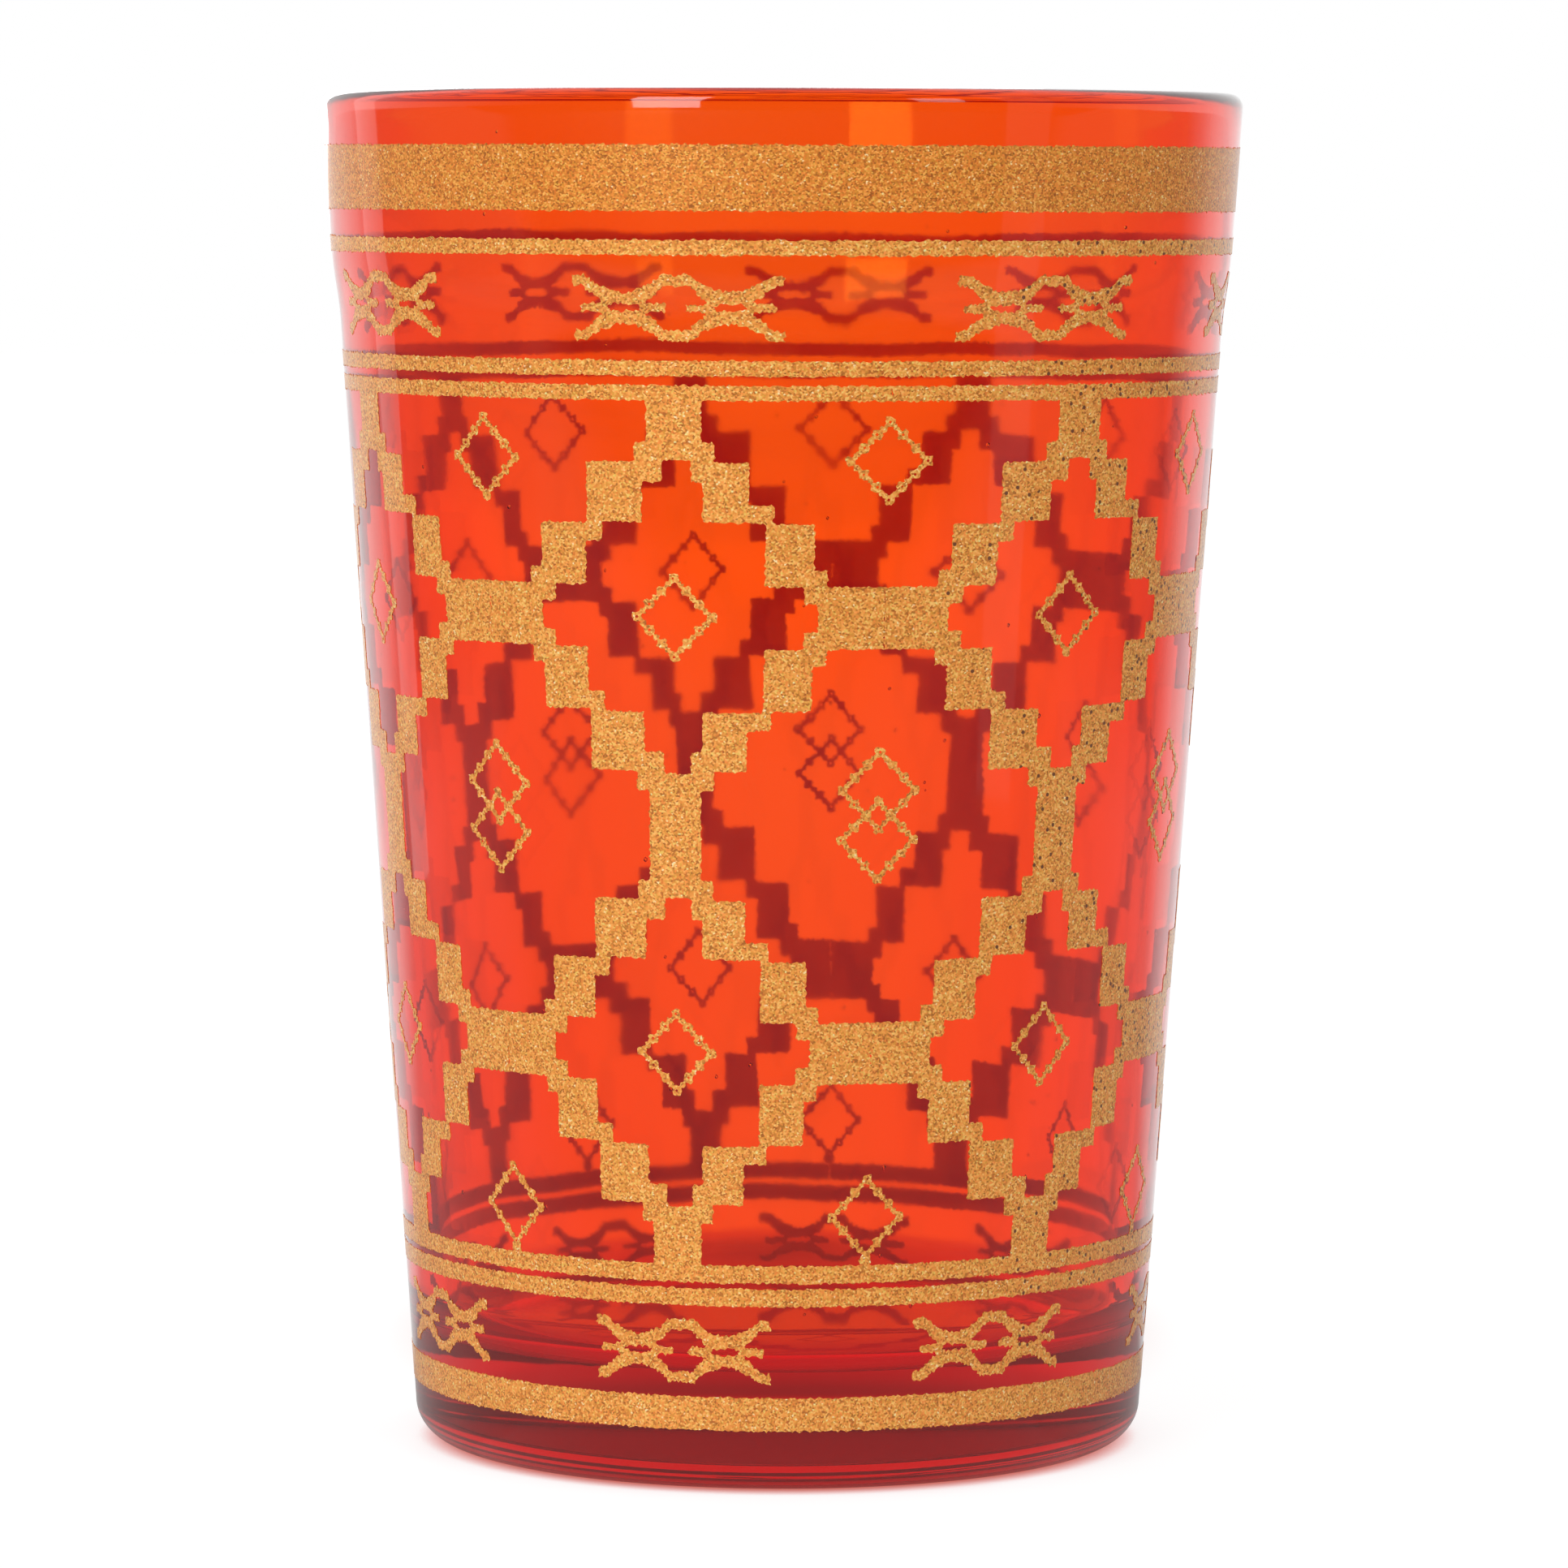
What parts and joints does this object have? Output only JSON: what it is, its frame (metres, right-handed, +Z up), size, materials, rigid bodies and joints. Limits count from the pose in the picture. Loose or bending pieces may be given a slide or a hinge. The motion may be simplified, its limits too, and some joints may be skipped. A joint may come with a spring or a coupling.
{
  "type": "tea glass",
  "caption": "Tapered orange-red glass tumbler for tea, with a thick base and a gold ornament of stepped lattice, beaded diamonds and knot borders fired on its outside.",
  "frame": {"origin": "centre of the foot, on the surface that the glass stands on", "axes": "+Z up along the axis of the glass, -Y towards the pictured front of the ornament, +X to its right"},
  "size_m": [0.0606, 0.0606, 0.089],
  "materials": {
    "glass": "polished orange-red transparent glass",
    "gold": "satin gold with a fine speckle, fired on"
  },
  "bodies": {
    "root": {"glass_body": "glass", "rim_band": "gold", "upper_pinstripe": "gold", "upper_knots": "gold", "upper_border_line": "gold", "lattice": "gold", "crest_diamonds": "gold", "upper_cell_diamonds": "gold", "twin_diamonds": "gold", "lower_cell_diamonds": "gold", "base_diamonds": "gold", "lower_border_line": "gold", "lower_knots": "gold", "foot_band": "gold"}
  },
  "joints": []
}
